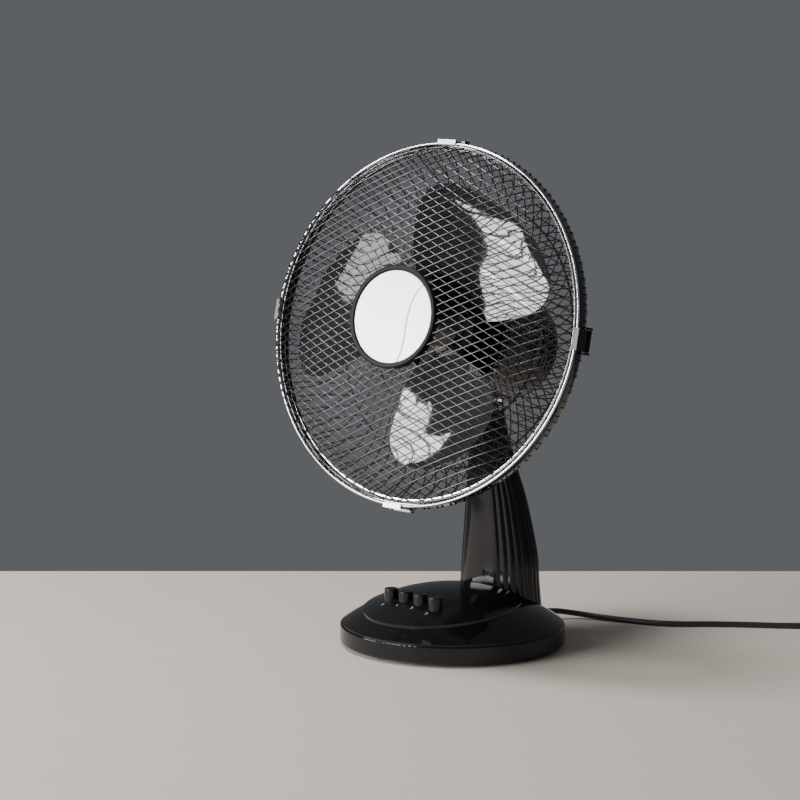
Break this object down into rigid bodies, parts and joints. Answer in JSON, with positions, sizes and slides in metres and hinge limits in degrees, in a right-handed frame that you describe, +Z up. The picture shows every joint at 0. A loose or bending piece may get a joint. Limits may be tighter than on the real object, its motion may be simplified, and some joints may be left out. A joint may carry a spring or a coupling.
{
  "type": "desk fan",
  "caption": "Tilting, turning desk fan with a wire cage, broad-bladed rotor, flared column and round base with push buttons.",
  "frame": {"origin": "centre of the base on the surface it stands on, on the face of the middle foot", "axes": "+Z up; the base's buttons and the head's front face -Y; +X to the right seen from behind"},
  "size_m": [0.551, 0.5088, 0.5155],
  "materials": {
    "black_gloss": "gloss",
    "panel_gloss": "gloss",
    "blade_gloss": "gloss",
    "black_matte": "matte",
    "button_black": "satin",
    "cord_black": "satin",
    "foot_rubber": "matte",
    "trim_chrome": "polished",
    "front_wire": "polished",
    "rear_wire": "gloss",
    "badge_silver": "satin",
    "ballast_iron": "rough",
    "steel": "satin",
    "zinc": "cast",
    "core_steel": "laminated",
    "copper": "enamelled",
    "bearing_bronze": "sintered",
    "plug_brass": "bright"
  },
  "bodies": {
    "stand": {"base_shell": "black_gloss", "control_panel": "panel_gloss", "base_plate": "black_matte", "ballast_weight": "ballast_iron", "rubber_feet": "foot_rubber", "base_screws": "steel", "switch_block": "black_matte", "column_front": "black_gloss", "column_rear": "black_gloss", "column_post": "black_matte", "tilt_bolt": "steel", "power_cord": "cord_black", "strain_relief": "cord_black", "cord_coil": "cord_black", "cord_tail": "cord_black", "cord_tie": "black_matte", "plug_body": "cord_black", "plug_pins": "plug_brass"},
    "button_off_cap": {"button_off": "button_black"},
    "button_low_cap": {"button_low": "button_black"},
    "button_medium_cap": {"button_medium": "button_black"},
    "button_high_cap": {"button_high": "button_black"},
    "bracket": {"tilt_bracket": "zinc"},
    "link": {"link_arm": "steel"},
    "crank": {"crank_disc": "steel"},
    "knob": {"oscillation_knob": "button_black"},
    "head": {"motor_front_cover": "black_gloss", "motor_rear_cover": "black_gloss", "neck_skirt": "black_matte", "stator_core": "core_steel", "stator_windings": "copper", "motor_bearings": "bearing_bronze", "gearbox": "zinc", "front_wires_rising": "front_wire", "front_wires_falling": "front_wire", "front_ring": "front_wire", "badge_surround": "black_gloss", "badge_disc": "badge_silver", "rim_trim": "trim_chrome", "rim_band": "black_gloss", "rear_ring": "rear_wire", "rear_wires": "rear_wire", "rear_hoops": "rear_wire", "rear_guard_hub": "black_gloss", "guard_lock_nut": "black_matte", "clip_lugs": "black_gloss", "clip_pins": "steel"},
    "rotor": {"motor_shaft": "steel", "rotor_core": "core_steel", "blade_rotor": "blade_gloss", "blade_nut": "black_matte"},
    "clip_right_body": {"clip_right": "trim_chrome"},
    "clip_top_body": {"clip_top": "trim_chrome"},
    "clip_left_body": {"clip_left": "trim_chrome"},
    "clip_bottom_body": {"clip_bottom": "trim_chrome"}
  },
  "joints": [
    {"name": "head_tilt", "type": "hinge", "parent": "stand", "child": "bracket", "pos_m": [0, 0.056, 0.24], "axis": [1, 0, 0], "range_deg": [-8, 20]},
    {"name": "head_turn", "type": "hinge", "parent": "bracket", "child": "head", "pos_m": [0, 0.056, 0.24], "axis": [0, 0.2113, 0.9774], "range_deg": [-48, 31]},
    {"name": "crank_turn", "type": "hinge", "parent": "head", "child": "crank", "pos_m": [-0.00443, 0.08754, 0.24546], "axis": [0, 0.2113, 0.9774], "continuous": true},
    {"name": "link_swing", "type": "hinge", "parent": "bracket", "child": "link", "pos_m": [0.0155, 0.0579, 0.2488], "axis": [0, 0.2113, 0.9774], "range_deg": [-12, 12]},
    {"name": "knob_pull", "type": "slide", "parent": "head", "child": "knob", "axis": [0, 0.2113, 0.9774], "range_m": [0, 0.005]},
    {"name": "rotor_spin", "type": "hinge", "parent": "head", "child": "rotor", "pos_m": [0.02055, -0.06431, 0.33405], "axis": [0.1478, -0.9667, 0.209], "continuous": true},
    {"name": "push_off", "type": "slide", "parent": "stand", "child": "button_off_cap", "axis": [0, 0, -1], "range_m": [0, 0.0035], "stiffness_N_per_m": 900, "springref_m": -0.0004},
    {"name": "push_low", "type": "slide", "parent": "stand", "child": "button_low_cap", "axis": [0, 0, -1], "range_m": [0, 0.0035], "stiffness_N_per_m": 900, "springref_m": -0.0004},
    {"name": "push_medium", "type": "slide", "parent": "stand", "child": "button_medium_cap", "axis": [0, 0, -1], "range_m": [0, 0.0035], "stiffness_N_per_m": 900, "springref_m": -0.0004},
    {"name": "push_high", "type": "slide", "parent": "stand", "child": "button_high_cap", "axis": [0, 0, -1], "range_m": [0, 0.0035], "stiffness_N_per_m": 900, "springref_m": -0.0004},
    {"name": "clip_right_open", "type": "hinge", "parent": "head", "child": "clip_right_body", "pos_m": [0.20072, -0.02594, 0.32575], "axis": [0, 0.2113, 0.9774], "range_deg": [0, 75]},
    {"name": "clip_top_open", "type": "hinge", "parent": "head", "child": "clip_top_body", "pos_m": [0.01874, -0.01364, 0.51134], "axis": [-0.989, -0.1445, 0.0312], "range_deg": [0, 75]},
    {"name": "clip_left_open", "type": "hinge", "parent": "head", "child": "clip_left_body", "pos_m": [-0.16324, -0.0791, 0.33725], "axis": [0, -0.2113, -0.9774], "range_deg": [0, 75]},
    {"name": "clip_bottom_open", "type": "hinge", "parent": "head", "child": "clip_bottom_body", "pos_m": [0.01874, -0.09141, 0.15166], "axis": [0.989, 0.1445, -0.0312], "range_deg": [0, 75]}
  ]
}
